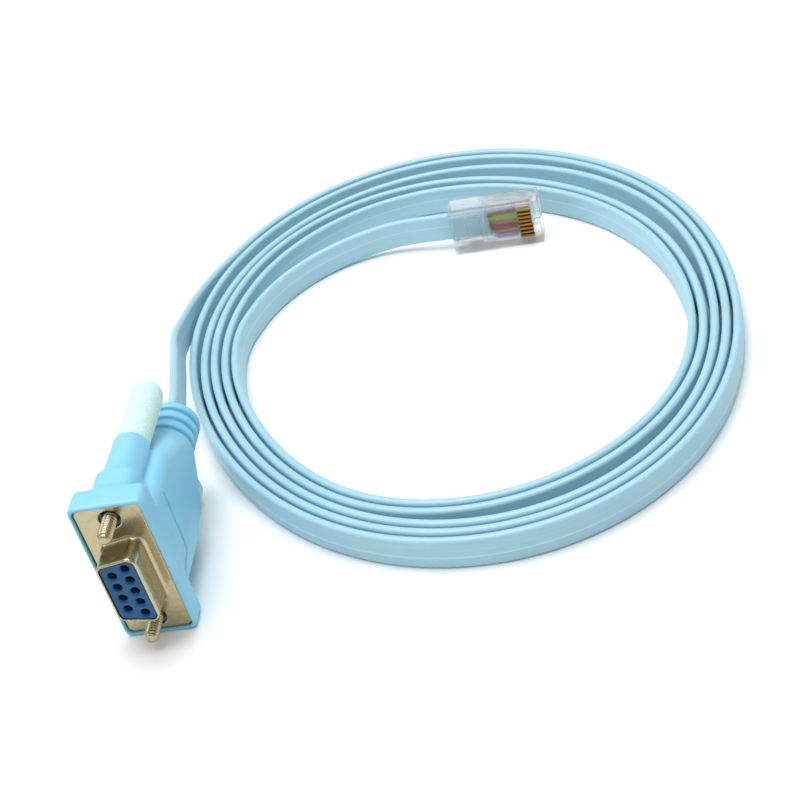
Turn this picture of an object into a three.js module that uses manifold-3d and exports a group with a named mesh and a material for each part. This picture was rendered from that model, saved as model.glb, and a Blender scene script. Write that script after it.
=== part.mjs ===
// A flat serial console cable: a nine-way D-type socket in a moulded hood with two
// captive thumbscrews, a flat eight-wire cable wound on its edge into an oval coil,
// and a clear eight-way modular plug. Millimetres, +Z up.
// The socket looks along -Y and stands on the narrow edge of its flange. The origin
// is on the floor, below the middle of the hood and its socket. Every other place
// along Y is measured from the hood's rim.
import * as THREE from 'three';
import { ConvexGeometry } from 'three/addons/geometries/ConvexGeometry.js';
import { mergeVertices } from 'three/addons/utils/BufferGeometryUtils.js';
import Module from 'manifold-3d';

const wasm = await Module();
wasm.setup();

// Clearances
const fitGap = 0.15; // between a piece and the pocket that holds it
const runGap = 0.35; // round a screw that turns
const endGap = 0.3; // between the ends of the cable's stretches

// Socket: pressed plate and D-shaped shell
const plateMargin = 2.905; // from a screw's middle to the plate's end
const plateWidth = 12.5;
const plateThickness = 0.8;
const plateCorner = 1.2;
const plateRecess = 0.5; // the plate's face lies this far behind the hood's rim
const shellLength = 16.33;
const shellWidth = 7.9;
const shellCorner = 1.8;
const shellSlope = THREE.MathUtils.degToRad(10);
const shellWall = 0.45;
const shellReach = 5.9; // from the plate's face

// Socket: insulator and its contacts
const insulatorSink = 0.25; // behind the shell's lip
const insulatorTail = 2.6; // behind the plate
const pinPitch = 2.77;
const rowSpacing = 2.84;
const pinHoleRadius = 0.8;
const contactRadius = 0.6;
const contactBore = 0.4;
const contactSink = 1.1; // behind the insulator's face
const contactLength = 5.2;

// Hood
const rimWidth = 0.75; // round the plate
const flangeDepth = 5.4;
const flangeCorner = 1.5;
const flangeBevel = 0.5;
const bodyWidth = 13;
const bodyHeight = 22;
const bodyCorner = 2.4;
const topTaper = 19.5; // where the body's narrow sides start to close in on the neck
const sideTaper = 26; // and where its broad sides do
const neckWall = 2; // moulding above and below the flat cable
const neckStart = 34.5;
const neckEnd = 43.1;
const neckSides = 40; // round the neck
const grooveCount = 3;
const groovePitch = 2.87;
const grooveWidth = 1.2;
const grooveDepth = 0.5;

// Thumbscrews
const screwSpacing = 24.99;
const screwRadius = 1.42;
const screwReach = 5.4; // from the plate's face
const screwPoint = 0.5; // chamfer at the tip
const screwSocket = 9; // how far the screw goes into its grip
const plateHoleRadius = 2;
const bossRadius = 3.6;
const bossEnd = 20.8;
const bossBlockWidth = 8.6;
const bossBlockEnd = 11;
const gripRadius = 3.2;
const gripLength = 17.9;
const domeSteps = 6; // round the grip's rounded end

// Flat cable
const cableWidth = 7;
const cableThickness = 1.8;
const cableChamfer = 0.5;

// Coil: an oval spiral, seen from above. Angles are in degrees from +X.
const coilX = 54.7;
const coilY = 80.5;
const coilRadius = 68.1;
const coilWaves = [ // [how many times round, height, angle of a crest]
  [2, 7.2, 107],
  [3, 0.65, 41],
  [4, 0.4, 20],
];
const coilStart = 192.9; // where the cable first runs beside its own next turn
const turnGap = 0.55; // between turns that lie side by side
const openings = [ // [first turn inside it, width, middle angle, half its spread]
  [1, 0.7, 108, 70],
  [2, 3.4, 108, 95],
  [3, 3.9, 63, 85],
  [3, 2.0, -69, 45],
  [4, 2.0, 118, 80],
  [5, 9.0, 108, 70],
];
const coilFrom = 48; // turned so far, in degrees, where the cable reaches the floor
const coilTo = 1830; // and where its last stretch leaves the innermost turn
const coilSkin = 0.05; // the coil's solid stands this far round its turns
const coilStep = 6;

// Stretches that aren't coiled: [x, y, height of the cable's middle]
const leadRoute = [
  [0, 43.4, 16.3],
  [0, 47.4, 16.3],
  [-0.75, 51.8, 16.1],
  [-1.8, 56.8, 15.5],
  [-3.1, 62.3, 14.5],
  [-4.7, 68.8, 13.1],
  [-6.6, 75.8, 11.5],
  [-8.1, 82.8, 9.4],
  [-8.6, 89.8, 7.5],
  [-8.65, 96.8, 6],
  [-8.1, 103.4, 4.9],
  [-6.9, 109.3, 4.2],
  [-4.8, 115.9, 3.7],
  [-2.5, 120.2, 3.5],
];
const tailRoute = [
  [6.5, 95.8, 3.5],
  [8.4, 100.4, 3.5],
  [11.1, 105.1, 3.5],
  [14.2, 109.3, 3.5],
  [17.9, 113, 3.5],
  [22, 116.1, 3.6],
  [26.8, 118.6, 3.8],
  [32.5, 120.4, 4.2],
  [38.5, 121, 4.8],
  [45, 120.2, 5.4],
  [50.5, 119, 5.8],
  [55, 118.55, 5.84],
  [62.6, 118.2, 5.84],
];
const routeStep = 5;

// Modular plug
const plugX = 54.1;
const plugY = 114.4;
const plugTurn = THREE.MathUtils.degToRad(-2.4);
const plugLength = 21.5;
const plugWidth = 11.68;
const plugThickness = 6.6;
const plugCorner = 0.4;
const contactPitch = 1.02;
const wayCount = 8;
const bladeThickness = 0.4;
const bladeLength = 3.4;
const bladeHeight = 2.2;
const bladeSink = 0.5; // behind the plug's face
const bladeEnd = 19.6; // from the plug's rear
const bladeGap = 0.08;
const wireRadius = 0.42;
const cableSeat = 4.2; // the cable's middle, behind the contact face
const cablePocket = 9;
const pocketGap = 0.3;
const clampFrom = 3.9;
const clampTo = 7.1;
const clampDepth = 1.9;
const latchWidth = 6.2;
const latchThickness = 1.1;
const latchRise = 3.6; // of its free end over the housing
const latchFrom = 6.4;

// Values that follow from those above
const plateHeight = screwSpacing + 2 * plateMargin;
const flangeHeight = plateHeight + 2 * (fitGap + rimWidth);
const flangeWidth = plateWidth + 2 * (fitGap + rimWidth);
const socketZ = flangeHeight / 2;
const plateBack = plateRecess + plateThickness;
const shellTip = plateRecess - shellReach;
const insulatorFace = shellTip + insulatorSink;
const insulatorBack = plateBack + insulatorTail;
const neckRadius = cableWidth / 2 + neckWall;
const hoodShift = -(neckEnd + shellTip) / 2;
const turnPitch = cableThickness + turnGap;
const wireSeat = bladeSink + bladeHeight + bladeGap + wireRadius;

// Colours
const finish = (color, roughness, metalness = 0, extra = {}) =>
  new THREE.MeshStandardMaterial({ color, roughness, metalness, ...extra });
const hoodBlue = () => finish(0x92c8e4, 0.5);
const cableBlue = () => finish(0xa5d0e2, 0.45);
const nickel = () => finish(0xc9b899, 0.25, 1);
const clear = () => finish(0xf2f6f6, 0.1, 0, { transparent: true, opacity: 0.4 });
const gold = () => finish(0xa8863a, 0.3, 1);
const wireColours = [0x3c6fb4, 0xe08a3c, 0x2b2b2e, 0xc8505a, 0x8fbf6a, 0xd9d274, 0x6b3c34, 0xd9cfd4];

// Solids

function solid(geometry) {
  const bare = geometry.clone();
  bare.deleteAttribute('normal');
  bare.deleteAttribute('uv');
  const merged = mergeVertices(bare, 1e-4);
  return new wasm.Manifold(new wasm.Mesh({
    numProp: 3,
    vertProperties: new Float32Array(merged.attributes.position.array),
    triVerts: new Uint32Array(merged.index.array),
  }));
}

function geometryOf(body) {
  const mesh = body.getMesh();
  const geometry = new THREE.BufferGeometry();
  geometry.setAttribute('position', new THREE.BufferAttribute(mesh.vertProperties, 3));
  geometry.setIndex(new THREE.BufferAttribute(mesh.triVerts, 1));
  geometry.computeVertexNormals();
  return geometry;
}

const cut = (body, ...tools) => tools.reduce((left, tool) => left.subtract(tool), body);
const join = (...bodies) => bodies.reduce((whole, body) => whole.add(body));

// Outlines, each round the middle of its plane

function roundedRect(width, height, radius) {
  const x = width / 2 - radius;
  const y = height / 2 - radius;
  const shape = new THREE.Shape();
  shape.absarc(x, y, radius, 0, Math.PI / 2);
  shape.absarc(-x, y, radius, Math.PI / 2, Math.PI);
  shape.absarc(-x, -y, radius, Math.PI, Math.PI * 1.5);
  shape.absarc(x, -y, radius, Math.PI * 1.5, Math.PI * 2);
  return shape;
}

// The D of the socket, its long side towards +X: four arcs on centres that stay put,
// so that an inset outline runs parallel to the shell's outside.
function dOutline(inset) {
  const x = shellWidth / 2 - shellCorner;
  const centreZ = (at) =>
    shellLength / 2 - (shellWidth / 2 - at) * Math.tan(shellSlope) - shellCorner / Math.cos(shellSlope);
  const radius = shellCorner - inset;
  const side = Math.PI / 2 + shellSlope;
  const shape = new THREE.Shape();
  shape.absarc(x, centreZ(x), radius, 0, side);
  shape.absarc(-x, centreZ(-x), radius, side, Math.PI);
  shape.absarc(-x, -centreZ(-x), radius, Math.PI, 2 * Math.PI - side);
  shape.absarc(x, -centreZ(x), radius, 2 * Math.PI - side, 2 * Math.PI);
  return shape;
}

// Pieces of the socket run along Y, at the middle of its height

function alongY(shape, from, to, bevel = 0) {
  const geometry = new THREE.ExtrudeGeometry(shape, {
    depth: to - from - 2 * bevel,
    bevelEnabled: bevel > 0,
    bevelThickness: bevel,
    bevelSize: bevel,
    bevelOffset: -bevel,
    bevelSegments: 2,
    curveSegments: 6,
  });
  return geometry.rotateX(Math.PI / 2).translate(0, to - bevel, socketZ);
}

function rodAlongY(radius, from, to, x, z, sides = 24) {
  const rod = new THREE.CylinderGeometry(radius, radius, to - from, sides);
  return rod.translate(x, (from + to) / 2, z);
}

// Hood: the flange round the plate, the body, the ribbed neck and two screw bosses

function hoodBody() {
  const place = (points, y) => points.map((p) => new THREE.Vector3(p.x, y, socketZ + p.y));
  const ring = (height, y) => place(roundedRect(bodyWidth, height, bodyCorner).getPoints(5), y);
  const neck = new THREE.EllipseCurve(0, 0, neckRadius, neckRadius).getPoints(neckSides).slice(1);
  const sideHeight = THREE.MathUtils.mapLinear(sideTaper, topTaper, neckStart, bodyHeight, 2 * neckRadius);
  return new ConvexGeometry([
    ...ring(bodyHeight, flangeDepth / 2),
    ...ring(bodyHeight, topTaper),
    ...ring(sideHeight, sideTaper),
    ...place(neck, neckStart),
  ]);
}

function neckRod(radius, from, to) {
  return solid(rodAlongY(radius, from, to, 0, socketZ, neckSides));
}

function neckGroove(index) {
  const from = neckEnd - (index + 1) * groovePitch;
  const to = from + grooveWidth;
  return cut(neckRod(neckRadius + 1, from, to), neckRod(neckRadius - grooveDepth, from - 1, to + 1));
}

function boss(side) {
  const z = socketZ + side * screwSpacing / 2;
  const block = roundedRect(bossBlockWidth, 2 * bossRadius, bodyCorner);
  return join(
    solid(rodAlongY(bossRadius, flangeDepth / 2, bossEnd, 0, z)),
    solid(alongY(block, flangeDepth / 2, bossBlockEnd).translate(0, 0, z - socketZ)),
  );
}

function hood() {
  const screwRows = [-1, 1].map((side) => socketZ + side * screwSpacing / 2);
  const whole = join(
    solid(alongY(roundedRect(flangeWidth, flangeHeight, flangeCorner), 0, flangeDepth, flangeBevel)),
    solid(hoodBody()),
    neckRod(neckRadius, neckStart - 1, neckEnd),
    boss(-1),
    boss(1),
  );
  const plateRoom = roundedRect(plateWidth + 2 * fitGap, plateHeight + 2 * fitGap, plateCorner);
  return geometryOf(cut(
    whole,
    solid(alongY(plateRoom, -1, plateBack + fitGap)),
    solid(alongY(dOutline(shellWall), plateBack, insulatorBack + fitGap)),
    ...screwRows.map((z) => solid(rodAlongY(screwRadius + runGap, plateBack, bossEnd + 1, 0, z))),
    ...screwRows.map((z) => solid(rodAlongY(gripRadius + runGap, bossEnd, neckEnd, 0, z))),
    ...Array.from({ length: grooveCount }, (_, index) => neckGroove(index)),
  ));
}

// Socket: the plate with its shell, the insulator and nine contacts

function frontShell() {
  const whole = join(
    solid(alongY(roundedRect(plateWidth, plateHeight, plateCorner), plateRecess, plateBack)),
    solid(alongY(dOutline(0), shellTip, plateBack)),
  );
  const holes = [-1, 1].map((side) =>
    solid(rodAlongY(plateHoleRadius, plateRecess - 1, plateBack + 1, 0, socketZ + side * screwSpacing / 2)));
  return geometryOf(cut(whole, solid(alongY(dOutline(shellWall), shellTip - 1, plateBack + 1)), ...holes));
}

// Five ways on the long side of the D, four on the short side
function pinPlaces() {
  const row = (count, x) => Array.from({ length: count }, (_, index) =>
    ({ x, z: socketZ + ((count - 1) / 2 - index) * pinPitch }));
  return [...row(5, rowSpacing / 2), ...row(4, -rowSpacing / 2)];
}

function insulator() {
  const block = solid(alongY(dOutline(shellWall + fitGap), insulatorFace, insulatorBack));
  const holeEnd = insulatorFace + contactSink + contactLength + fitGap;
  const holes = pinPlaces().map(({ x, z }) =>
    solid(rodAlongY(pinHoleRadius, insulatorFace - 1, holeEnd, x, z, 12)));
  return geometryOf(cut(block, ...holes));
}

function socketContact() {
  const ring = [
    [contactBore, 0],
    [contactRadius, 0],
    [contactRadius, contactLength],
    [contactBore, contactLength],
    [contactBore, 0],
  ].map(([x, y]) => new THREE.Vector2(x, y));
  return new THREE.LatheGeometry(ring, 12);
}

// Thumbscrews: a plain metal screw and the moulded grip on its rear end

function screw() {
  const length = screwReach + bossEnd + endGap + screwSocket - plateRecess;
  const profile = [
    [0, 0],
    [screwRadius - screwPoint, 0],
    [screwRadius, screwPoint],
    [screwRadius, length],
    [0, length],
  ].map(([x, y]) => new THREE.Vector2(x, y));
  return new THREE.LatheGeometry(profile, 20);
}

function screwGrip() {
  const inner = screwRadius + fitGap;
  const dome = Array.from({ length: domeSteps + 1 }, (_, index) => {
    const angle = index / domeSteps * Math.PI / 2;
    return [gripRadius * Math.cos(angle), gripLength - gripRadius + gripRadius * Math.sin(angle)];
  });
  const profile = [
    [0, screwSocket + fitGap],
    [inner, screwSocket + fitGap],
    [inner, 0],
    [gripRadius, 0],
    ...dome.slice(0, -1),
    [0, gripLength],
  ].map(([x, y]) => new THREE.Vector2(x, y));
  return new THREE.LatheGeometry(profile, 24);
}

// Flat cable

// A smooth route whose cross-section stays upright: one side of the section is level
// at every place, and the other leans only as far as the route climbs.
class UprightRoute extends THREE.CatmullRomCurve3 {
  computeFrenetFrames(segments) {
    const tangents = [];
    const normals = [];
    const binormals = [];
    for (let index = 0; index <= segments; index += 1) {
      const tangent = this.getTangentAt(index / segments);
      const level = new THREE.Vector3(tangent.y, -tangent.x, 0).normalize();
      tangents.push(tangent);
      normals.push(level);
      binormals.push(new THREE.Vector3().crossVectors(tangent, level));
    }
    return { tangents, normals, binormals };
  }
}

function cableSection() {
  const x = cableThickness / 2;
  const y = cableWidth / 2;
  const c = cableChamfer;
  return new THREE.Shape([
    [x, y - c], [x - c, y], [c - x, y], [-x, y - c], [-x, c - y], [c - x, -y], [x - c, -y], [x, c - y],
  ].map(([u, v]) => new THREE.Vector2(u, v)));
}

function cableAlong(points) {
  const route = new UprightRoute(points.map((p) => new THREE.Vector3(...p)));
  const steps = Math.round(route.getLength() / routeStep);
  return new THREE.ExtrudeGeometry(cableSection(), { steps, extrudePath: route, bevelEnabled: false });
}

// How far the cable's middle is from the coil's, after it has turned by so many degrees
// from the coil's start: the oval, less the turns and the gaps outside it.
function coilReach(turned) {
  const angle = coilStart - turned;
  const turns = Math.floor(turned / 360);
  const oval = coilWaves.reduce(
    (sum, [times, height, crest]) =>
      sum + height * Math.cos(THREE.MathUtils.degToRad(times * (angle - crest))),
    coilRadius,
  );
  const open = openings.reduce((sum, [first, width, middle, spread]) => {
    const off = THREE.MathUtils.euclideanModulo(angle - middle + 180, 360) - 180;
    const share = Math.min(Math.abs(off) / spread, 1);
    return turns >= first ? sum + width * (1 + Math.cos(Math.PI * share)) / 2 : sum;
  }, 0);
  return oval - turnPitch * turned / 360 - open;
}

function coilPoint(turned, outwards) {
  const angle = THREE.MathUtils.degToRad(coilStart - turned);
  const reach = coilReach(turned) + outwards;
  return new THREE.Vector2(coilX + reach * Math.cos(angle), coilY + reach * Math.sin(angle));
}

// The coil as one solid: its outer face follows the first whole turn and its inner
// face the last, so each has a step where a free stretch of cable meets the coil.
function cableCoil() {
  const wall = cableThickness / 2 + coilSkin;
  const face = (from, outwards) => Array.from({ length: 360 / coilStep + 1 }, (_, index) =>
    coilPoint(from + index * coilStep, outwards));
  const shape = new THREE.Shape(face(coilFrom, wall));
  shape.holes.push(new THREE.Path(face(coilTo - 360, -wall).reverse()));
  return new THREE.ExtrudeGeometry(shape, { depth: cableWidth, bevelEnabled: false });
}

// Modular plug, in its own frame: it points along +X, its contacts face -Y, and it
// lies on its side, so the eight ways are one above the other.

function plugBox(fromX, toX, fromY, toY, width, z = plugWidth / 2) {
  const box = new THREE.BoxGeometry(toX - fromX, toY - fromY, width);
  return solid(box.translate((fromX + toX) / 2, (fromY + toY) / 2, z));
}

function latch() {
  const foot = plugLength - 2.2;
  const outline = new THREE.Shape([
    [foot, plugThickness - 0.6],
    [plugLength - plugCorner, plugThickness - 0.6],
    [plugLength - plugCorner, plugThickness + latchThickness],
    [latchFrom + 1, plugThickness + latchRise + latchThickness],
    [latchFrom, plugThickness + latchRise + latchThickness],
    [latchFrom, plugThickness + latchRise],
    [foot, plugThickness + 0.3],
  ].map(([x, y]) => new THREE.Vector2(x, y)));
  const slab = new THREE.ExtrudeGeometry(outline, { depth: latchWidth, bevelEnabled: false });
  return solid(slab.translate(0, 0, (plugWidth - latchWidth) / 2));
}

const wayZ = (way) => plugWidth / 2 + (way - (wayCount - 1) / 2) * contactPitch;

function plugHousing() {
  const side = roundedRect(plugLength, plugThickness, plugCorner);
  const block = new THREE.ExtrudeGeometry(side, { depth: plugWidth, bevelEnabled: false, curveSegments: 3 });
  const pocket = cableThickness + 2 * pocketGap;
  const wireRoom = wireRadius + pocketGap;
  const rows = wayCount * contactPitch;
  const slots = Array.from({ length: wayCount }, (_, way) => plugBox(
    bladeEnd - bladeLength - bladeGap,
    bladeEnd + bladeGap,
    -1,
    wireSeat - wireRadius,
    bladeThickness + 2 * bladeGap,
    wayZ(way),
  ));
  return geometryOf(cut(
    join(solid(block.translate(plugLength / 2, plugThickness / 2, 0)), latch()),
    plugBox(-1, cablePocket, cableSeat - pocket / 2, cableSeat + pocket / 2, cableWidth + 2 * pocketGap),
    plugBox(cablePocket - 1, bladeEnd + pocketGap, wireSeat - wireRoom, wireSeat + wireRoom, rows),
    plugBox(clampFrom, clampTo, -1, clampDepth, cableWidth + 2 * pocketGap),
    ...slots,
  ));
}

function plugBlade() {
  return new THREE.BoxGeometry(bladeLength, bladeHeight, bladeThickness);
}

function plugWire() {
  const length = bladeEnd - cablePocket;
  return new THREE.CylinderGeometry(wireRadius, wireRadius, length, 10).rotateZ(Math.PI / 2);
}

// The whole cable

const object = new THREE.Group();
const whole = new THREE.Group();
whole.position.y = hoodShift;
object.add(whole);

function place(name, geometry, material, x = 0, y = 0, z = 0, parent = whole) {
  const mesh = new THREE.Mesh(geometry, material);
  mesh.name = name;
  mesh.position.set(x, y, z);
  parent.add(mesh);
}

place('hood', hood(), hoodBlue());
place('front_shell', frontShell(), nickel());
place('insulator', insulator(), finish(0x19598f, 0.45));
pinPlaces().forEach(({ x, z }, index) => {
  const y = insulatorFace + contactSink;
  place(`socket_contact_${index + 1}`, socketContact(), gold(), x, y, z);
});
[['lower', -1], ['upper', 1]].forEach(([name, side]) => {
  const z = socketZ + side * screwSpacing / 2;
  place(`screw_${name}`, screw(), nickel(), 0, plateRecess - screwReach, z);
  place(`screw_grip_${name}`, screwGrip(), finish(0xd3efec, 0.6), 0, bossEnd + endGap, z);
});

place('cable_lead', cableAlong(leadRoute), cableBlue());
place('cable_coil', cableCoil(), cableBlue());
place('cable_tail', cableAlong(tailRoute), cableBlue());

const plug = new THREE.Group();
plug.position.set(plugX, plugY, 0);
plug.rotation.z = plugTurn;
whole.add(plug);
place('plug_housing', plugHousing(), clear(), 0, 0, 0, plug);
for (let way = 0; way < wayCount; way += 1) {
  const bladeX = bladeEnd - bladeLength / 2;
  const wireX = (bladeEnd + cablePocket) / 2;
  const bladeY = bladeSink + bladeHeight / 2;
  const wire = finish(wireColours[way], 0.5);
  place(`plug_contact_${way + 1}`, plugBlade(), gold(), bladeX, bladeY, wayZ(way), plug);
  place(`plug_wire_${way + 1}`, plugWire(), wire, wireX, wireSeat, wayZ(way), plug);
}

export default object;
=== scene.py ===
"""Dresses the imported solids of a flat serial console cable: a D-type socket in a moulded hood
with two thumbscrews, a flat cable coiled on its edge, and a clear modular plug.
Shapes are worked out in millimetres, in the row frame, and enter Blender in metres."""

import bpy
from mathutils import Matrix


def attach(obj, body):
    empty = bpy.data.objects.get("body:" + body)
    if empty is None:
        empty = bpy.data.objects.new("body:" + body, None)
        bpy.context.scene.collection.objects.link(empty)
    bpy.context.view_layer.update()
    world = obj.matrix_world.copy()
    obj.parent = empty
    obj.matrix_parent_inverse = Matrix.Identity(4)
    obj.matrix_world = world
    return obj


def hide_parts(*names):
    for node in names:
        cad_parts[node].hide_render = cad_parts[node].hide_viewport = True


bl_info = {
    "name": "Flat serial console cable",
    "version": (1, 0, 0),
    "blender": (4, 5, 0),
    "location": "3D View > Sidebar > Console cable",
    "description": "Builds the cable, its two connectors and a plain stage round the packed solids",
    "category": "Object",
}

import math

import bpy
import numpy as np
from bpy.props import FloatProperty, FloatVectorProperty, IntProperty, PointerProperty
from mathutils import Matrix, Vector

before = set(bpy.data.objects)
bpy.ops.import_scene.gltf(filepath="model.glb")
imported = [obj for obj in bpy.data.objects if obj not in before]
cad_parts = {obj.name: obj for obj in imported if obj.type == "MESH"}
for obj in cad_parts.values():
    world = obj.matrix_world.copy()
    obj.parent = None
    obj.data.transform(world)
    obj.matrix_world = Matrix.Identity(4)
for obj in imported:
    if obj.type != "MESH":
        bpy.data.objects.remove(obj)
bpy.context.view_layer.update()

MM = 0.001
BODY = "cable"
WAYS = range(1, 9)

# Socket, along its own axis: 0 is the hood's rim, and the cable leaves towards +Y
HOOD_SHIFT = -18.85
SOCKET_Z = 16.3
FIT, RUN = 0.15, 0.35
FLANGE, FLANGE_DEPTH = (7.15, 16.3, 1.5), 5.4
PLATE, PLATE_FACE, PLATE_BACK, PLATE_HOLE = (6.25, 15.4, 1.2), 0.5, 1.3, 2
SHELL_TIP, SHELL_WALL, SHELL_CORNER, SHELL_GRID = -5.4, 0.45, 1.8, 0.16
SHELL_CORE = ((2.15, 6.02), (-2.15, 5.262), (-2.15, -5.262), (2.15, -6.02))
INSULATOR_FACE, INSULATOR_BACK, INSULATOR_GAP, INSULATOR_GRID = -5.15, 3.9, 0.12, 0.17
PIN_HOLE, PIN_MOUTH, PIN_DEPTH = 0.8, 0.28, 6.45
PIN_ROWS = ((1.42, (-5.54, -2.77, 0, 2.77, 5.54)), (-1.42, (-4.155, -1.385, 1.385, 4.155)))
BODY_HALF, BODY_CORNER, TOP_TAPER, SIDE_TAPER = (6.5, 11), 2.4, 19.5, 26
NECK_RADIUS, NECK_START, NECK_END = 5.5, 34.5, 43.1
RIB_PITCH, GROOVE_WIDTH, GROOVE_DEPTH = 2.87, 1.1, 0.95
ENGRAVED = ((11.5, 7.8), (11, -5.7), (5, -7.6))
ENGRAVED_HALF, ENGRAVED_DEPTH = 0.24, 0.8
BOSS_RADIUS, BOSS_END = 3.6, 20.8
BLOCK_HALF, BLOCK_END = 4.3, 11
SLOT, SLOT_DEPTH = (1.2, 3.65, 0.9), 2.2
SCREW_Z, SCREW_RADIUS, SCREW_TIP, THREAD_END, SCREW_END = 12.495, 1.42, -4.9, 2.2, 30.1
GRIP_START, GRIP_RADIUS, GRIP_LENGTH, GRIP_BORE = 21.1, 3.2, 17.9, (1.6, 9.2)

# Modular plug, in its own frame: it points along +X and its contacts face -Y
PLUG_PLACE, PLUG_TURN = (54.1, 95.55), math.radians(-2.4)
PLUG_SIZE = (21.5, 6.6, 11.68)
WAY_PITCH = 1.02
BLADE_END, BLADE_LENGTH, BLADE_HALF = 19.6, 3.4, 0.3
CABLE_SEAT, CABLE_POCKET, POCKET_END = 4.2, (1.2, 3.8, 0.6), 9.6
WIRE_SEAT, WIRE_RADIUS, WIRE_START, WIRE_BEND, WIRE_CROWD = 3.2, 0.42, 8.9, 2.2, 0.86
CLAMP_AT, CLAMP_HALF = 5.5, (1.6, 1.9)
LATCH_ROOT, LATCH_FREE, LATCH_RISE, LATCH_HALF = 19.3, 6.4, 3.3, (0.55, 3.1)

# The cable's route: the middle of its section, where it isn't coiled
LEAD = np.array([
    (0, 23.2, 16.3), (0, 24.55, 16.3), (0, 28.55, 16.3), (-0.75, 32.95, 16.1), (-1.8, 37.95, 15.5),
    (-3.1, 43.45, 14.5), (-4.7, 49.95, 13.1), (-6.6, 56.95, 11.5), (-8.1, 63.95, 9.4),
    (-8.6, 70.95, 7.5), (-8.65, 77.95, 6), (-8.1, 84.55, 4.9), (-6.9, 90.45, 4.2),
    (-4.8, 97.05, 3.7),
])
TAIL = np.array([
    (8.4, 81.55, 3.5), (11.1, 86.25, 3.5), (14.2, 90.45, 3.5), (17.9, 94.15, 3.5), (22, 97.25, 3.6),
    (26.8, 99.75, 3.8), (32.5, 101.55, 4.2), (38.5, 102.15, 4.8), (45, 101.35, 5.4), (50.5, 100.15, 5.8),
    (55, 99.7, 5.84), (63.2, 99.35, 5.84),
])

# The coil: an oval spiral, with angles in degrees
COIL_MIDDLE, COIL_RADIUS, COIL_START = (54.7, 61.65), 68.1, 192.9
COIL_WAVES = ((2, 7.2, 107), (3, 0.65, 41), (4, 0.4, 20))
COIL_PITCH = 2.35
COIL_OPENINGS = (
    (1, 0.7, 108, 70), (2, 3.4, 108, 95), (3, 3.9, 63, 85), (3, 2.0, -69, 45), (4, 2.0, 118, 80),
    (5, 9.0, 108, 70),
)
COIL_FROM, COIL_TO = 52, 1828


def tint(code):
    """A web colour as linear light, the way Blender's sockets take it."""
    shades = [(code >> shift & 255) / 255 for shift in (16, 8, 0)]
    return tuple(s / 12.92 if s <= 0.04045 else ((s + 0.055) / 1.055) ** 2.4 for s in shades)


def length(name, description, default):
    """A size that a user may change, in metres."""
    return FloatProperty(name=name, description=description, default=default, min=0, unit="LENGTH")


def colour(name, description, code):
    """A colour that a user may change."""
    return FloatVectorProperty(
        name=name, description=description, default=tint(code), min=0, max=1, subtype="COLOR"
    )


class CableSizes(bpy.types.PropertyGroup):
    width: length("Width", "Flat cable, across its wires", 0.007)
    thickness: length("Thickness", "Flat cable, through its thickness", 0.0018)
    corner: length("Corner", "Radius of the flat cable's edges", 0.0008)
    step: length("Step", "Spacing of the cable's cross-sections", 0.0024)
    jacket: colour("Jacket", "Flat cable's vinyl", 0xAFD6E4)


class SocketSizes(bpy.types.PropertyGroup):
    grid: length("Grid", "Spacing of the hood's faces", 0.00027)
    fillet: length("Fillet", "Radius where two forms of the hood meet", 0.0008)
    pitch: length("Thread pitch", "One turn of the screws' thread", 0.000635)
    hood: colour("Hood", "Moulded hood", 0x94D2EC)
    metal: colour("Metal", "Nickel-plated shell and screws", 0xC6BB9C)
    insulator: colour("Insulator", "Plastic round the socket's contacts", 0x055C8C)
    grip: colour("Grip", "Moulded ends of the thumbscrews", 0xCDEBE8)


class PlugSizes(bpy.types.PropertyGroup):
    grid: length("Grid", "Spacing of the housing's faces", 0.00022)
    around: IntProperty(name="Around", description="Faces round a wire", default=14, min=6)
    clear: colour("Housing", "Clear plastic of the plug", 0xF4F8FA)
    gold: colour("Contacts", "Gold-plated blades", 0xB08A3A)


class StageSizes(bpy.types.PropertyGroup):
    lens: FloatProperty(name="Lens", description="Camera's focal length, in mm", default=65.87)
    roll: FloatProperty(
        name="Roll", description="Camera's turn about its own axis",
        default=math.radians(16.57), subtype="ANGLE",
    )
    floor: colour("Floor", "Plain floor", 0xFAFAFA)


# Shader maths


class Value:
    """A number or colour that varies over a surface, and that adds nodes when it is used in sums."""

    def __init__(self, finish, socket):
        self.finish = finish
        self.socket = socket

    def _maths(self, operation, *terms):
        return self.finish.node(
            "ShaderNodeMath", {"operation": operation}, dict(enumerate(terms))
        )

    def __add__(self, other):
        return self._maths("ADD", self, other)

    def __rsub__(self, other):
        return self._maths("SUBTRACT", other, self)

    def __mul__(self, other):
        return self._maths("MULTIPLY", self, other)

    __radd__ = __add__
    __rmul__ = __mul__

    def clear_of(self, low, high):
        """0 below low, 1 above high, and a smooth step between them."""
        return self.finish.node(
            "ShaderNodeMapRange",
            {"interpolation_type": "SMOOTHSTEP"},
            {"Value": self, "From Min": low, "From Max": high},
        )


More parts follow.
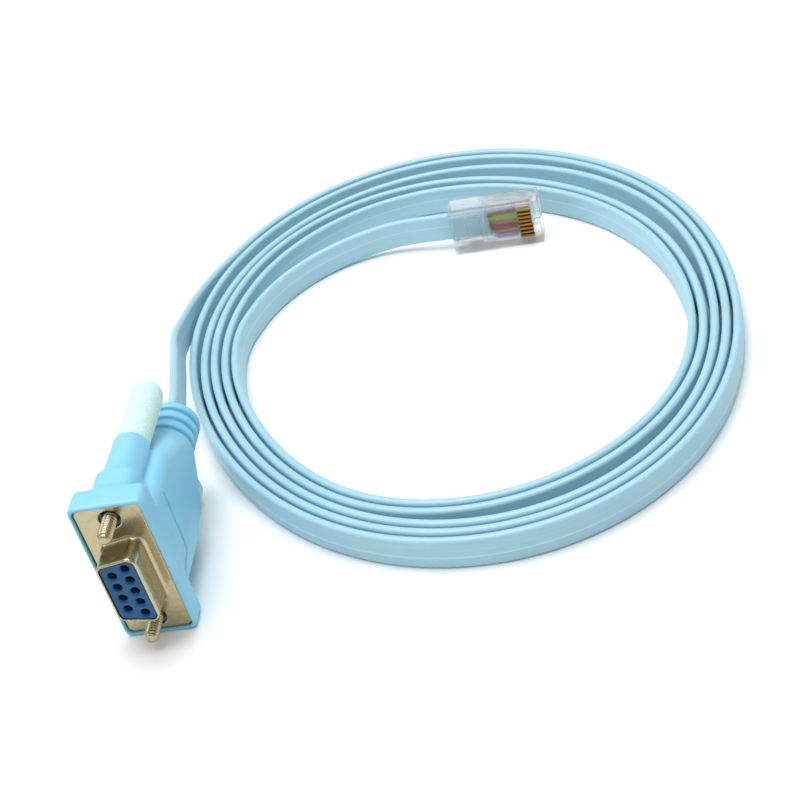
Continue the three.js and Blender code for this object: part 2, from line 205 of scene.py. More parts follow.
class Finish:
    """A material round one Principled shader."""

    COLOUR_A, COLOUR_B, COLOUR_OUT = 6, 7, 2

    def __init__(self, name):
        self.material = bpy.data.materials.new(name)
        self.material.use_nodes = True
        self.tree = self.material.node_tree
        self.shader = self.tree.nodes["Principled BSDF"]
        self.place = self.node("ShaderNodeTexCoord", output="Object")

    def node(self, kind, settings=None, values=None, output=0):
        """Adds a node: what it is comes first, then the values or links of its sockets."""
        made = self.tree.nodes.new(kind)
        for key, setting in (settings or {}).items():
            setattr(made, key, setting)
        for key, value in (values or {}).items():
            self.feed(made.inputs[key], value)
        return Value(self, made.outputs[output])

    def feed(self, socket, value):
        if isinstance(value, Value):
            self.tree.links.new(value.socket, socket)
        else:
            socket.default_value = value

    def noise(self, per_mm, detail=2.0, place=None, **values):
        """Cloudy noise with so many features to a millimetre."""
        return self.node(
            "ShaderNodeTexNoise",
            values={"Vector": place or self.place, "Scale": per_mm / MM, "Detail": detail, **values},
        )

    def stretched(self, *scales):
        """Object coordinates, stretched along each axis."""
        return self.node("ShaderNodeMapping", values={"Vector": self.place, "Scale": scales})

    def between(self, share, low, high):
        """A colour from low to high, by a share from 0 to 1."""
        return self.node(
            "ShaderNodeMix",
            {"data_type": "RGBA"},
            {
                0: share,
                self.COLOUR_A: low if isinstance(low, Value) else (*low, 1),
                self.COLOUR_B: high if isinstance(high, Value) else (*high, 1),
            },
            self.COLOUR_OUT,
        )

    def relief(self, height, depth, strength=1.0):
        """A normal from a height that runs from 0 to 1, for a relief depth millimetres deep."""
        return self.node(
            "ShaderNodeBump",
            values={"Height": height, "Distance": depth * MM, "Strength": strength},
        )

    def shade(self, **sockets):
        for key, value in sockets.items():
            socket = self.shader.inputs[key.replace("_", " ")]
            plain = socket.type == "RGBA" and not isinstance(value, Value)
            self.feed(socket, (*value, 1) if plain else value)
        return self.material


def shaded(tone, factor):
    """The same colour, darker or lighter."""
    return tuple(channel * factor for channel in tone)


def vinyl(name, tone):
    """Satin cable jacket: streaks that run along it from extrusion, a slight mottle, and a painted
    highlight: a paler line on the moulding seam's ridge, which lies at 0.03 across the cable's UV map."""
    finish = Finish(name)
    along = finish.node("ShaderNodeUVMap", {"uv_map": "along"})
    streaks = finish.node(
        "ShaderNodeTexNoise", values={"Vector": along, "Scale": 1.0, "Detail": 3.0}
    )
    mottle = finish.noise(0.09, 3)
    across = finish.node("ShaderNodeSeparateXYZ", values={"Vector": along}, output=1)
    # Painted highlight: seam picks out the seam's ridge, and its share of the colour paints that ridge
    # paler, as if it caught the light.
    seam = across.clear_of(-0.3, 0.03) * (1 - across.clear_of(0.03, 0.36))
    share = streaks * 0.45 + mottle * 0.3 + seam * 0.6
    return finish.shade(
        Base_Color=finish.between(share, shaded(tone, 0.84), shaded(tone, 1.16)),
        Roughness=0.3 + 0.22 * mottle,
        Normal=finish.relief(streaks * 0.7 + finish.noise(1.2, 2) * 0.3, 0.02, 0.5),
        Specular_IOR_Level=0.5,
        Subsurface_Weight=0.08,
        Subsurface_Scale=0.001,
    )


def moulded(name, tone, grain_per_mm, depth, rough=0.42):
    """Moulded plastic: a fine pitted grain over a slow mottle."""
    finish = Finish(name)
    grain = finish.noise(grain_per_mm, 3, Roughness=0.6)
    mottle = finish.noise(0.12, 2)
    return finish.shade(
        Base_Color=finish.between(mottle, shaded(tone, 0.9), shaded(tone, 1.06)),
        Roughness=rough - 0.06 + 0.12 * grain,
        Normal=finish.relief(grain, depth, 0.6),
    )


def speckled(name, tone):
    """Finely textured grip: small raised grains that catch the light."""
    finish = Finish(name)
    grain = finish.node(
        "ShaderNodeTexVoronoi", {"feature": "F1"}, {"Vector": finish.place, "Scale": 2.6 / MM}
    ).clear_of(0.1, 0.62)
    mottle = finish.noise(1.4, 3)
    share = grain * 0.5 + mottle * 0.5
    return finish.shade(
        Base_Color=finish.between(share, shaded(tone, 0.86), shaded(tone, 1.1)),
        Roughness=0.62 + 0.15 * mottle,
        Normal=finish.relief(1 - grain, 0.05, 0.7),
        Subsurface_Weight=0.15,
        Subsurface_Scale=0.0015,
    )


def plated(name, tone, stretch=(1, 1, 1), rough=0.2):
    """Plated metal: faint rolling lines, dull patches and fine scratches."""
    finish = Finish(name)
    lines = finish.noise(0.9, 4, place=finish.stretched(*stretch))
    patches = finish.noise(0.25, 3)
    scratches = finish.noise(2.5, 2, place=finish.stretched(0.15, 4, 0.6)).clear_of(0.62, 0.72)
    return finish.shade(
        Base_Color=finish.between(lines * 0.5 + patches * 0.5, shaded(tone, 0.74), shaded(tone, 1.1)),
        Metallic=1.0,
        Roughness=rough + 0.16 * patches + 0.12 * scratches,
        Normal=finish.relief(lines, 0.012, 0.5),
    )


def clear_plastic(name, tone):
    """Clear moulded plastic: it bends light, and lets part of it straight through."""
    finish = Finish(name)
    flow = finish.noise(0.5, 2)
    return finish.shade(
        Base_Color=finish.between(flow, shaded(tone, 0.94), tone),
        Roughness=0.02 + 0.06 * flow,
        Alpha=0.42 + 0.12 * flow,
        Normal=finish.relief(flow, 0.03, 0.3),
        Transmission_Weight=1.0,
        IOR=1.5,
    )


# Surfaces


def piece(name, points, faces, material, body=BODY, smooth=True, uv=None):
    """A mesh object at the origin, from points in millimetres, that rides on a body."""
    mesh = bpy.data.meshes.new(name)
    mesh.from_pydata((np.asarray(points, float) * MM).tolist(), [], faces)
    mesh.materials.append(material)
    mesh.polygons.foreach_set("use_smooth", np.full(len(mesh.polygons), smooth))
    if uv is not None:
        corners = np.empty(len(mesh.loops), int)
        mesh.loops.foreach_get("vertex_index", corners)
        mesh.uv_layers.new(name="along").uv.foreach_set("vector", uv[corners].ravel())
    mesh.validate()
    mesh.update()
    made = bpy.data.objects.new(name, mesh)
    bpy.context.scene.collection.objects.link(made)
    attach(made, body)
    return made


def rings(count, around):
    """Faces of a closed tube: count rings of around points each, with a cap on each end."""
    row, column = np.meshgrid(np.arange(count - 1), np.arange(around), indexing="ij")
    after = (column + 1) % around
    corner = np.stack([
        row * around + column, row * around + after,
        (row + 1) * around + after, (row + 1) * around + column,
    ], -1).reshape(-1, 4)
    first = list(range(around))[::-1]
    last = list(range((count - 1) * around, count * around))
    return corner.tolist() + [first, last]


def turned(profile, middle, around, wobble=None):
    """A closed surface of revolution about the Y axis through middle: each row of the
    profile is a radius and a place along Y, and wobble adds to the radius by row and angle."""
    profile = np.asarray(profile, float)
    angle = np.linspace(0, 2 * np.pi, around, endpoint=False)
    radius, along = (profile[:, k:k + 1] + np.zeros(around) for k in (0, 1))
    if wobble:
        radius = radius + wobble(along, angle)
    points = np.stack([
        middle[0] + radius * np.sin(angle), along + HOOD_SHIFT, middle[1] + radius * np.cos(angle),
    ], -1)
    return points.reshape(-1, 3), rings(len(profile), around)


def smooth_min(a, b, blend):
    """The lower of two distances, with a fillet of about blend where they meet."""
    share = np.clip(0.5 + 0.5 * (b - a) / blend, 0, 1)
    return b + (a - b) * share - blend * share * (1 - share)


def smooth_max(a, b, blend):
    return -smooth_min(-a, -b, blend)


def rounded(u, v, half_u, half_v, corner):
    """Distance from the outline of a rounded rectangle round the origin."""
    past_u = np.abs(u) - half_u + corner
    past_v = np.abs(v) - half_v + corner
    outside = np.hypot(np.maximum(past_u, 0), np.maximum(past_v, 0))
    return outside + np.minimum(np.maximum(past_u, past_v), 0) - corner


def from_line(u, v, start, end):
    """Distance from a straight line between two points."""
    start, end = np.array(start, float), np.array(end, float)
    run = end - start
    share = np.clip(((u - start[0]) * run[0] + (v - start[1]) * run[1]) / (run @ run), 0, 1)
    return np.hypot(u - start[0] - share * run[0], v - start[1] - share * run[1])


def from_core(x, z):
    """Distance from the four-cornered core of the D, less than 0 inside it, so that the D's
    outlines are offsets of the core. A place is inside if it lies left of all four sides."""
    sides = list(zip(SHELL_CORE, SHELL_CORE[1:] + SHELL_CORE[:1]))
    near = np.minimum.reduce([from_line(x, z, a, b) for a, b in sides])
    right = np.maximum.reduce([(x - a[0]) * (b[1] - a[1]) - (z - a[1]) * (b[0] - a[0]) for a, b in sides])
    return np.where(right < 0, -near, near)


def within(y, low, high):
    """Distance from a slab between two places along an axis."""
    return np.abs(y - (low + high) / 2) - (high - low) / 2


def skin(field, low, high, step):
    """The surface where a field of x, y and z is zero, as a net of four-sided faces: one
    point in each cell that the surface crosses, in the middle of its edges' crossings, then
    drawn onto the surface along the field's slope. A fillet needs this; a swept grid has none."""
    base = np.array(low, float) - 2 * step
    counts = np.ceil((np.array(high, float) - base) / step).astype(int) + 3
    x, y, z = (base[k] + step * np.arange(counts[k]) for k in range(3))
    value = field(x[:, None, None], y[None, :, None], z[None, None, :])
    total = np.zeros((counts.prod(), 4))
    quads = []
    for axis in range(3):
        tail = np.take(value, range(counts[axis] - 1), axis)
        head = np.take(value, range(1, counts[axis]), axis)
        crossed = (tail < 0) != (head < 0)
        start = np.argwhere(crossed)
        point = np.c_[start, np.ones(len(start))].astype(float)
        point[:, axis] += tail[crossed] / (tail[crossed] - head[crossed])
        around = []
        for back in ((0, 0), (1, 0), (1, 1), (0, 1)):
            cell = start.copy()
            cell[:, (axis + 1) % 3] -= back[0]
            cell[:, (axis + 2) % 3] -= back[1]
            around.append(np.ravel_multi_index(cell.T, counts))
            for column in range(4):
                total[:, column] += np.bincount(around[-1], point[:, column], len(total))
        quad = np.stack(around, 1)
        falling = head[crossed] < 0
        quad[falling] = quad[falling, ::-1]
        quads.append(quad)
    used = np.flatnonzero(total[:, 3])
    number = np.zeros(len(total), int)
    number[used] = np.arange(len(used))
    points = base + step * total[used, :3] / total[used, 3:]
    nudge = 0.02 * step * np.eye(3)
    for _ in range(4):
        slope = np.stack([
            (field(*(points + n).T) - field(*(points - n).T)) / (2 * n.max()) for n in nudge
        ], 1)
        reach = field(*points.T) / np.maximum((slope ** 2).sum(1), 0.2)
        points -= np.clip(reach, -step, step)[:, None] * slope
    return points, number[np.concatenate(quads)].tolist()


# Flat cable


def curve_through(points, steps=24):
    """A smooth line through points: a cubic on each span, whose slope at a point is half
    the step from the point before it to the one after."""
    ends = np.vstack([2 * points[0] - points[1], points, 2 * points[-1] - points[-2]])
    share = np.linspace(0, 1, steps, endpoint=False)[None, :, None]
    a, b, c, d = (ends[k:len(ends) - 3 + k, None, :] for k in range(4))
    line = b + 0.5 * share * (c - a + share * (2 * a - 5 * b + 4 * c - d + share * (3 * (b - c) + d - a)))
    return np.vstack([line.reshape(-1, points.shape[1]), points[-1:]])


def coil_line(turn):
    """The spiral's middle after turning by so many degrees: an oval of three waves, less a
    pitch for each turn and the gaps that open between some turns."""
    angle = COIL_START - turn
    reach = COIL_RADIUS - COIL_PITCH * turn / 360
    for times, height, crest in COIL_WAVES:
        reach = reach + height * np.cos(np.radians(times * (angle - crest)))
    for first, width, middle, spread in COIL_OPENINGS:
        off = (angle - middle + 180) % 360 - 180
        share = np.minimum(np.abs(off) / spread, 1)
        reach = reach - (turn >= 360 * first) * width * (1 + np.cos(np.pi * share)) / 2
    angle = np.radians(angle)
    level = np.full(len(turn), 3.5)
    return np.stack([
        COIL_MIDDLE[0] + reach * np.cos(angle), COIL_MIDDLE[1] + reach * np.sin(angle), level,
    ], 1)


def spaced(line, step):
    """The same line with points at even steps along it."""
    run = np.r_[0, np.cumsum(np.linalg.norm(np.diff(line, axis=0), axis=1))]
    places = np.linspace(0, run[-1], max(2, round(run[-1] / step) + 1))
    return np.stack([np.interp(places, run, line[:, k]) for k in range(3)], 1)


def cable_route(step):
    """Lead, coil and tail as one line, eased where they join by a running mean."""
    coil = coil_line(np.arange(COIL_FROM, COIL_TO, 2.0))
    line = spaced(np.vstack([curve_through(LEAD), coil, curve_through(TAIL)]), 0.5)
    ease = np.hanning(17)
    ease /= ease.sum()
    eased = line.copy()
    for k in range(3):
        eased[8:-8, k] = np.convolve(line[:, k], ease, "valid")
    return spaced(eased, step)


def cable_section(width, thickness, corner):
    """The flat cable's outline: four rounded edges, flat faces and a fine moulding line that
    stands out of the outer face, below its middle."""
    u, v = thickness / 2 - corner, width / 2 - corner
    arc = np.linspace(0, np.pi / 2, 6)
    corners = [
        np.stack([cu + corner * np.cos(arc + turn), cv + corner * np.sin(arc + turn)], 1)
        for cu, cv, turn in (
            (u, v, 0), (-u, v, np.pi / 2), (-u, -v, np.pi), (u, -v, 1.5 * np.pi),
        )
    ]
    seam = np.array([(0, -0.4), (0.11, -0.62), (0.11, -0.78), (0, -1)])[::-1]
    seam = np.stack([thickness / 2 + seam[:, 0], seam[:, 1]], 1)
    return np.vstack([*corners, seam])


def swept(line, section):
    """A section carried along a line, its second axis upright, and its first to the left."""
    ahead = np.gradient(line, axis=0)
    ahead /= np.linalg.norm(ahead, axis=1, keepdims=True)
    left = np.stack([-ahead[:, 1], ahead[:, 0], np.zeros(len(line))], 1)
    left /= np.linalg.norm(left, axis=1, keepdims=True)
    upright = np.cross(ahead, left)
    points = line[:, None] + section[None, :, :1] * left[:, None] + section[None, :, 1:] * upright[:, None]
    return points.reshape(-1, 3)


class CONSOLE_OT_cable(bpy.types.Operator):
    """Lays the flat cable from the hood, round its coil and into the plug"""

    bl_idname = "console.cable"
    bl_label = "Flat cable"

    def execute(self, context):
        sizes = context.scene.cable_sizes
        line = cable_route(sizes.step / MM)
        section = cable_section(sizes.width / MM, sizes.thickness / MM, sizes.corner / MM)
        count, around = len(line), len(section)
        run = np.r_[0, np.cumsum(np.linalg.norm(np.diff(line, axis=0), axis=1))]
        uv = np.stack([
            np.repeat(run * 0.02, around), np.tile(section[:, 1] * 1.6 + section[:, 0], count),
        ], 1)
        faces = [face[::-1] for face in rings(count, around)]
        cable = piece(
            "flat_cable", swept(line, section), faces, vinyl("cable_jacket", sizes.jacket),
            uv=uv,
        )
        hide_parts("cable_lead", "cable_coil", "cable_tail")
        return {"FINISHED"}


def declare_cable(sizes):
    """Works out the flat cable's route from its sizes, and does nothing more with it."""
    line = cable_route(sizes.step / MM)


# Socket


def hood_field(x, y, z, fillet):
    """The hood: a flange, a body that tapers to a ribbed neck, and two screw bosses, less
    the plate's room, the screws' ways, the grips' rooms, the cable's slot, three grooves and
    an engraved line. From TOP_TAPER and SIDE_TAPER on, the body closes in on the round neck."""
    y, z = y - HOOD_SHIFT, z - SOCKET_Z
    half_x = np.interp(y, (SIDE_TAPER, NECK_START), (BODY_HALF[0], NECK_RADIUS))
    half_z = np.interp(y, (TOP_TAPER, NECK_START), (BODY_HALF[1], NECK_RADIUS))
    corner = np.interp(y, (SIDE_TAPER, NECK_START), (BODY_CORNER, NECK_RADIUS))
    side = rounded(x, z, half_x, half_z, corner)
    body = smooth_max(side, within(y, 2, NECK_END), 0.6)
    for rib in (1, 2, 3):
        start = NECK_END - rib * RIB_PITCH
        groove = smooth_max(within(y, start, start + GROOVE_WIDTH), -side - GROOVE_DEPTH, 0.3)
        body = smooth_max(body, -groove, 0.35)
    engraved = np.minimum(*[from_line(y, z, a, b) for a, b in zip(ENGRAVED, ENGRAVED[1:])])
    body = smooth_max(body, -np.maximum(engraved - ENGRAVED_HALF, -side - ENGRAVED_DEPTH), 0.15)
    flange = smooth_max(rounded(x, z, *FLANGE), within(y, 0, FLANGE_DEPTH), 0.9)
    outer = np.abs(z) - SCREW_Z
    boss = smooth_max(np.hypot(x, outer) - BOSS_RADIUS, within(y, 2, BOSS_END), 0.5)
    block = rounded(x, outer, BLOCK_HALF, BOSS_RADIUS, BODY_CORNER)
    block = smooth_max(block, within(y, 2, BLOCK_END), 1.4)
    hood = smooth_min(flange, smooth_min(body, smooth_min(boss, block, 0.5), fillet), fillet)
    plate_room = rounded(x, z, PLATE[0] + FIT, PLATE[1] + FIT, PLATE[2])
    plate_room = np.maximum(plate_room, y - PLATE_BACK - FIT)
    socket_room = np.maximum(from_core(x, z) - SHELL_CORNER + SHELL_WALL, y - INSULATOR_BACK - FIT)
    screw_way = np.maximum(np.hypot(x, outer) - SCREW_RADIUS - RUN, 1 - y)
    grip_room = np.maximum(np.hypot(x, outer) - GRIP_RADIUS - RUN, BOSS_END - y)
    cable_slot = np.maximum(rounded(x, z, *SLOT), NECK_END - SLOT_DEPTH - y)
    rooms = np.minimum(np.minimum(plate_room, socket_room), np.minimum(screw_way, cable_slot))
    rooms = np.minimum(rooms, grip_room)
    return smooth_max(hood, -rooms, 0.2)


def shell_field(x, y, z):
    """The pressed plate with its D-shaped shell: a fillet where they meet, and a rolled lip."""
    y, z = y - HOOD_SHIFT, z - SOCKET_Z
    core = from_core(x, z)
    plate = smooth_max(rounded(x, z, *PLATE), within(y, PLATE_FACE, PLATE_BACK), 0.2)
    shell = smooth_max(core - SHELL_CORNER, within(y, SHELL_TIP, PLATE_BACK - 0.1), 0.5)
    whole = smooth_min(plate, shell, 0.9)
    inside = SHELL_CORNER - SHELL_WALL - core
    whole = smooth_max(whole, inside, 0.12)
    outer = np.abs(z) - SCREW_Z
    return smooth_max(whole, PLATE_HOLE - np.hypot(x, outer), 0.2)


def insulator_field(x, y, z):
    """The insulator: a D-shaped block with nine round holes, whose mouths are chamfered."""
    y, z = y - HOOD_SHIFT, z - SOCKET_Z
    outline = from_core(x, z) - SHELL_CORNER + SHELL_WALL + INSULATOR_GAP
    block = smooth_max(outline, within(y, INSULATOR_FACE, INSULATOR_BACK), 0.15)
    mouth = np.maximum(PIN_MOUTH - (y - INSULATOR_FACE), 0)
    for row, places in PIN_ROWS:
        for place in places:
            hole = PIN_HOLE + mouth - np.hypot(x - row, z - place)
            block = smooth_max(block, np.minimum(hole, INSULATOR_FACE + PIN_DEPTH - y), 0.08)
    return block


class CONSOLE_OT_hood(bpy.types.Operator):
    """Moulds the hood with its flange, screw bosses, ribs and moulding line"""

    bl_idname = "console.hood"
    bl_label = "Hood"

    def execute(self, context):
        sizes = context.scene.socket_sizes
        points, faces = skin(
            lambda x, y, z: hood_field(x, y, z, sizes.fillet / MM),
            (-7.2, HOOD_SHIFT, 0), (7.2, NECK_END + HOOD_SHIFT, 2 * SOCKET_Z), sizes.grid / MM,
        )
        plastic = moulded("hood_plastic", sizes.hood, 1.6, 0.03)
        hood = piece("moulded_hood", points, faces, plastic)
        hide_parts("hood")
        return {"FINISHED"}


class CONSOLE_OT_socket(bpy.types.Operator):
    """Presses the plate and its shell, and moulds the insulator with its contacts"""

    bl_idname = "console.socket"
    bl_label = "Socket"

    def execute(self, context):
        sizes = context.scene.socket_sizes
        points, faces = skin(
            shell_field,
            (-6.3, SHELL_TIP + HOOD_SHIFT, 0.8), (6.3, PLATE_BACK + HOOD_SHIFT, 31.8), SHELL_GRID,
        )
        shell = piece("pressed_shell", points, faces, plated("shell_metal", sizes.metal))
        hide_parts("front_shell")
        points, faces = skin(
            insulator_field,
            (-3.6, INSULATOR_FACE + HOOD_SHIFT, 9), (3.6, INSULATOR_BACK + HOOD_SHIFT, 23.6),
            INSULATOR_GRID,
        )
        block = piece(
            "socket_block", points, faces,
            moulded("insulator_plastic", sizes.insulator, 2.5, 0.015, 0.38),
        )
        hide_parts("insulator")
        gold = plated("contact_metal", context.scene.plug_sizes.gold, (1, 0.2, 1), 0.22)
        for way in range(1, 10):
            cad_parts[f"socket_contact_{way}"].material_slots[0].material = gold
        return {"FINISHED"}


class CONSOLE_OT_screws(bpy.types.Operator):
    """Turns the two screws with their threads, and moulds a grip on each"""

    bl_idname = "console.screws"
    bl_label = "Thumbscrews"

    def execute(self, context):
        sizes = context.scene.socket_sizes
        pitch = sizes.pitch / MM
        metal = plated("screw_metal", sizes.metal, (1, 0.25, 1), 0.24)
        plastic = speckled("grip_plastic", sizes.grip)
        threaded = np.arange(SCREW_TIP, THREAD_END, pitch / 8)
        places = np.r_[threaded, np.linspace(THREAD_END, SCREW_END, 12)]
        radius = np.minimum(SCREW_RADIUS, SCREW_RADIUS - 0.5 + (places - SCREW_TIP) * 0.9)
        profile = np.vstack([[(0.4, SCREW_TIP)], np.stack([radius, places], 1), [(0.4, SCREW_END)]])

        def thread(along, angle):
            """A ridge that climbs one pitch a turn, and fades out at the thread's end."""
            phase = (along / pitch - angle / (2 * np.pi)) % 1
            fade = np.clip((THREAD_END - along) / pitch, 0, 1) * np.clip((along - SCREW_TIP) / 0.5, 0, 1)
            return -0.26 * fade * np.abs(2 * phase - 1)

        dome = np.linspace(0, np.pi / 2, 10)
        straight = GRIP_LENGTH - GRIP_RADIUS
        outside = np.vstack([
            [GRIP_BORE, (GRIP_BORE[0], 0)],
            [(GRIP_RADIUS - 0.35, 0), (GRIP_RADIUS - 0.1, 0.1), (GRIP_RADIUS, 0.35)],
            np.stack([np.full(6, GRIP_RADIUS), np.linspace(1, straight, 6)], 1),
            np.stack([GRIP_RADIUS * np.cos(dome[1:-1]), straight + GRIP_RADIUS * np.sin(dome[1:-1])], 1),
            [(0.25, GRIP_LENGTH - 0.01)],
        ]) + (0, GRIP_START)
        for side, sign in (("lower", -1), ("upper", 1)):
            middle = (0, SOCKET_Z + sign * SCREW_Z)
            body = f"{side}_screw"
            points, faces = turned(profile, middle, 24, thread)
            stem = piece(f"threaded_screw_{side}", points, faces, metal, body)
            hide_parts(f"screw_{side}")
            points, faces = turned(outside, middle, 36)
            grip = piece(f"moulded_grip_{side}", points, faces, plastic, body)
            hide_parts(f"screw_grip_{side}")
        return {"FINISHED"}


# Plug


def in_row(points):
    """Points of the plug's own frame, in the row frame."""
    points = np.asarray(points, float)
    cos, sin = math.cos(PLUG_TURN), math.sin(PLUG_TURN)
    return np.stack([
        PLUG_PLACE[0] + points[:, 0] * cos - points[:, 1] * sin,
        PLUG_PLACE[1] + points[:, 0] * sin + points[:, 1] * cos,
        points[:, 2],
    ], 1)


def plug_field(x, y, z):
    """The plug's housing: a block with its latch, less the cable's pocket, the wires' room,
    the clamp's recess and eight slots for the blades. The latch's arm is a slab that is
    sheared, so that it rises in a straight line from its root to its free end."""
    z = z - PLUG_SIZE[2] / 2
    block = smooth_max(
        rounded(x - PLUG_SIZE[0] / 2, y - PLUG_SIZE[1] / 2, PLUG_SIZE[0] / 2, PLUG_SIZE[1] / 2, 0.4),
        np.abs(z) - PLUG_SIZE[2] / 2, 0.3,
    )
    middle, half = (LATCH_ROOT + LATCH_FREE) / 2, (LATCH_ROOT - LATCH_FREE) / 2
    rise = LATCH_RISE * (LATCH_ROOT - x) / (2 * half)
    arm = rounded(x - middle, y - PLUG_SIZE[1] - 0.3 - LATCH_HALF[0] - rise, half, LATCH_HALF[0], 0.2)
    foot = rounded(x - LATCH_ROOT - 0.9, y - PLUG_SIZE[1], 0.9, 1.1, 0.3)
    latch = smooth_max(smooth_min(arm * 0.95, foot, 0.8), np.abs(z) - LATCH_HALF[1], 0.3)
    whole = smooth_min(block, latch, 0.3)
    pocket = np.maximum(rounded(y - CABLE_SEAT, z, *CABLE_POCKET), x - POCKET_END)
    room = np.maximum(rounded(y - WIRE_SEAT - 0.15, z, 0.85, 4.1, 0.3), within(x, 8, 19.9))
    clamp = np.maximum(rounded(x - CLAMP_AT, y, *CLAMP_HALF, 0.2), np.abs(z) - CABLE_POCKET[1])
    way = (z / WAY_PITCH) % 1 - 0.5
    slots = np.maximum(np.abs(way) * WAY_PITCH - BLADE_HALF - 0.06, np.abs(z) - 4 * WAY_PITCH)
    reach = rounded(x - BLADE_END + BLADE_LENGTH / 2, y, BLADE_LENGTH / 2 + 0.08, 2.8, 0.1)
    slots = np.maximum(slots, np.maximum(reach, -1 - y))
    rooms = np.minimum(np.minimum(pocket, room), np.minimum(clamp, slots))
    return smooth_max(whole, -rooms, 0.12)


class CONSOLE_OT_plug(bpy.types.Operator):
    """Moulds the clear housing of the modular plug, with its latch"""

    bl_idname = "console.plug"
    bl_label = "Plug housing"

    def execute(self, context):
        sizes = context.scene.plug_sizes
        points, faces = skin(plug_field, (0, 0, 0), (21.6, 11.4, 11.7), sizes.grid / MM)
        plastic = clear_plastic("clear_plastic", sizes.clear)
        shell = piece("plug_shell", in_row(points), faces, plastic)
        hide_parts("plug_housing")
        return {"FINISHED"}


class CONSOLE_OT_ways(bpy.types.Operator):
    """Fits the plug's eight wires and the blades that bite into them"""

    bl_idname = "console.ways"
    bl_label = "Wires and blades"

    TONES = (0x2F62AE, 0xE08A3C, 0x26262A, 0xC8404C, 0x86BE5C, 0xD9D05E, 0x5E3028, 0xE0D0D8)

    def execute(self, context):
        sizes = context.scene.plug_sizes
        angle = np.linspace(0, 2 * np.pi, sizes.around, endpoint=False)
        ring = WIRE_RADIUS * np.stack([np.cos(angle), np.sin(angle)], 1)
        ahead = np.linspace(WIRE_START, BLADE_END, 30)
        ease = np.clip((ahead - WIRE_START) / WIRE_BEND, 0, 1)
        ease = ease * ease * (3 - 2 * ease)
        for way, tone in zip(WAYS, self.TONES):
            off = way - 4.5
            line = np.stack([
                ahead, CABLE_SEAT + (WIRE_SEAT - CABLE_SEAT) * ease,
                PLUG_SIZE[2] / 2 + off * (WIRE_CROWD + (WAY_PITCH - WIRE_CROWD) * ease),
            ], 1)
            points = line[:, None] + np.c_[np.zeros(len(ring)), ring][None]
            wire = piece(
                f"way_wire_{way}", in_row(points.reshape(-1, 3)), rings(len(line), len(ring)),
                moulded(f"wire_{way}", tint(tone), 1.5, 0.02, 0.4),
            )
            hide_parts(f"plug_wire_{way}")
        blade = np.array([(16.2, 0.75), (16.45, 0.5), (19.35, 0.5), (19.6, 0.75), (19.6, 2.7), (19.1, 2.7),
                          (18.8, 2.35), (18.5, 2.7), (17.3, 2.7), (17, 2.35), (16.7, 2.7), (16.2, 2.7)])
        count = len(blade)
        points, faces = [], []
        for way in WAYS:
            middle = PLUG_SIZE[2] / 2 + (way - 4.5) * WAY_PITCH
            for side in (-BLADE_HALF, BLADE_HALF):
                points.append(np.c_[blade, np.full(count, middle + side)])
            start = 2 * count * (way - 1)
            faces += [[start + corner for corner in face] for face in rings(2, count)]
        blades = piece(
            "plug_blades", in_row(np.vstack(points)), faces,
            plated("blade_metal", sizes.gold, (0.3, 1, 1), 0.25), smooth=False,
        )
        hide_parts(*[f"plug_contact_{way}" for way in WAYS])
        return {"FINISHED"}


# Stage


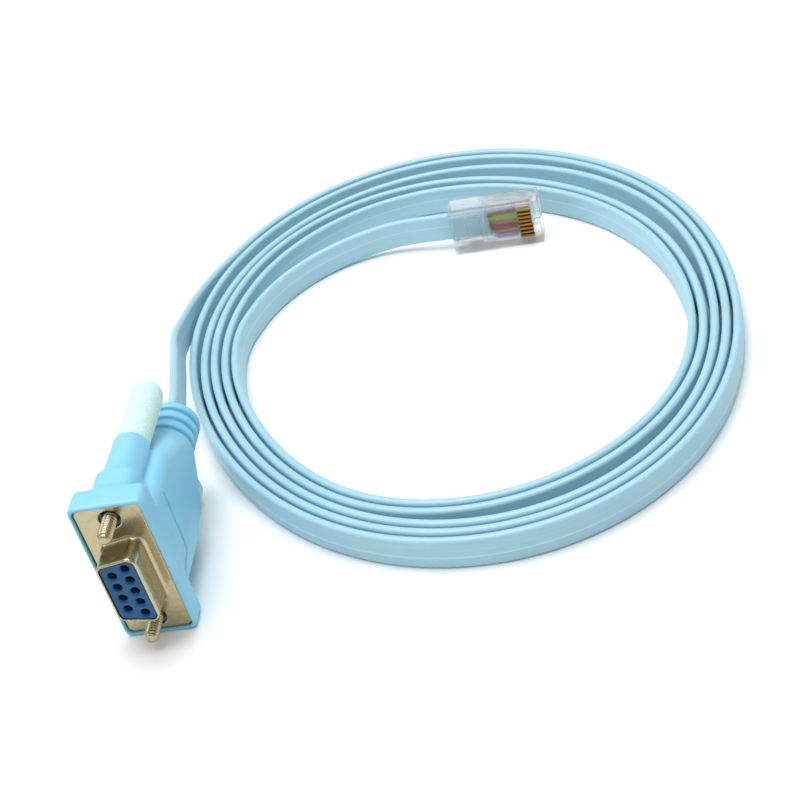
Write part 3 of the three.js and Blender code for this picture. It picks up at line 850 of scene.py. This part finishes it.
class CONSOLE_OT_stage(bpy.types.Operator):
    """Sets the camera, a plain pale floor and soft studio light"""

    bl_idname = "console.stage"
    bl_label = "Stage"

    TARGET, EYE = (0.0427, 0.04155, 0.0), (0.0991, -0.20535, 0.1855)
    LAMPS = (
        ("overhead", (0.02, 0.12, 0.9), (0.05, 0.06, 0), 0.8, 7.2),
        ("left", (-0.6, -0.12, 0.4), (0.03, 0.04, 0), 0.45, 0.9),
        ("front", (0.25, -0.6, 0.5), (0.03, 0.04, 0), 0.5, 0.4),
    )

    def execute(self, context):
        sizes = context.scene.stage_sizes
        eye, target = Vector(self.EYE), Vector(self.TARGET)
        back = (eye - target).normalized()
        level = Vector((0, 0, 1)).cross(back).normalized()
        upright = back.cross(level)
        cos, sin = math.cos(sizes.roll), math.sin(sizes.roll)
        right, up = cos * level - sin * upright, sin * level + cos * upright
        data = bpy.data.cameras.new("camera")
        data.lens, data.sensor_width = sizes.lens, 36
        data.clip_start, data.clip_end = 0.01, 20
        camera = bpy.data.objects.new("camera", data)
        camera.matrix_world = Matrix.Translation(eye) @ Matrix((right, up, back)).transposed().to_4x4()
        context.scene.collection.objects.link(camera)
        context.scene.camera = camera

        side = 3.0
        floor = bpy.data.meshes.new("floor")
        floor.from_pydata(
            [(-side, -side, 0), (side, -side, 0), (side, side, 0), (-side, side, 0)], [], [(0, 1, 2, 3)]
        )
        finish = Finish("floor")
        floor.materials.append(finish.shade(Base_Color=tuple(sizes.floor), Roughness=0.6))
        ground = bpy.data.objects.new("floor", floor)
        context.scene.collection.objects.link(ground)

        world = bpy.data.worlds.new("studio")
        world.use_nodes = True
        world.node_tree.nodes["Background"].inputs["Color"].default_value = (0.98, 0.99, 1, 1)
        world.node_tree.nodes["Background"].inputs["Strength"].default_value = 0.3
        context.scene.world = world
        for name, place, aim, size, power in self.LAMPS:
            lamp = bpy.data.lights.new(name, "AREA")
            lamp.shape, lamp.size, lamp.energy = "SQUARE", size, power
            made = bpy.data.objects.new(name, lamp)
            made.matrix_world = Matrix.Translation(place) @ (
                (Vector(place) - Vector(aim)).to_track_quat("Z", "Y").to_matrix().to_4x4()
            )
            context.scene.collection.objects.link(made)
        context.scene.view_settings.view_transform = "Standard"
        context.scene.view_settings.look = "Medium High Contrast"
        return {"FINISHED"}


class CONSOLE_PT_pieces(bpy.types.Panel):
    """Lists the pieces and their sizes in the sidebar"""

    bl_label = "Console cable"
    bl_space_type = "VIEW_3D"
    bl_region_type = "UI"
    bl_category = "Console cable"

    def draw(self, context):
        for operator in OPERATORS:
            self.layout.operator(operator.bl_idname)
        for name, _ in GROUPS:
            group = getattr(context.scene, name)
            box = self.layout.box()
            for key in group.__annotations__:
                box.prop(group, key)


OPERATORS = (
    CONSOLE_OT_stage, CONSOLE_OT_cable, CONSOLE_OT_hood, CONSOLE_OT_socket, CONSOLE_OT_screws,
    CONSOLE_OT_plug, CONSOLE_OT_ways,
)
GROUPS = (
    ("cable_sizes", CableSizes), ("socket_sizes", SocketSizes), ("plug_sizes", PlugSizes),
    ("stage_sizes", StageSizes),
)


def register():
    for name, group in GROUPS:
        bpy.utils.register_class(group)
        setattr(bpy.types.Scene, name, PointerProperty(type=group))
    for entry in (*OPERATORS, CONSOLE_PT_pieces):
        bpy.utils.register_class(entry)


def unregister():
    for entry in (*OPERATORS, CONSOLE_PT_pieces):
        bpy.utils.unregister_class(entry)
    for name, group in GROUPS:
        delattr(bpy.types.Scene, name)
        bpy.utils.unregister_class(group)


def main():
    register()
    bpy.ops.console.stage()
    bpy.ops.console.cable()
    bpy.ops.console.hood()
    bpy.ops.console.socket()
    bpy.ops.console.screws()
    bpy.ops.console.plug()
    bpy.ops.console.ways()
    declare_cable(bpy.context.scene.cable_sizes)


if __name__ == "__main__":
    main()
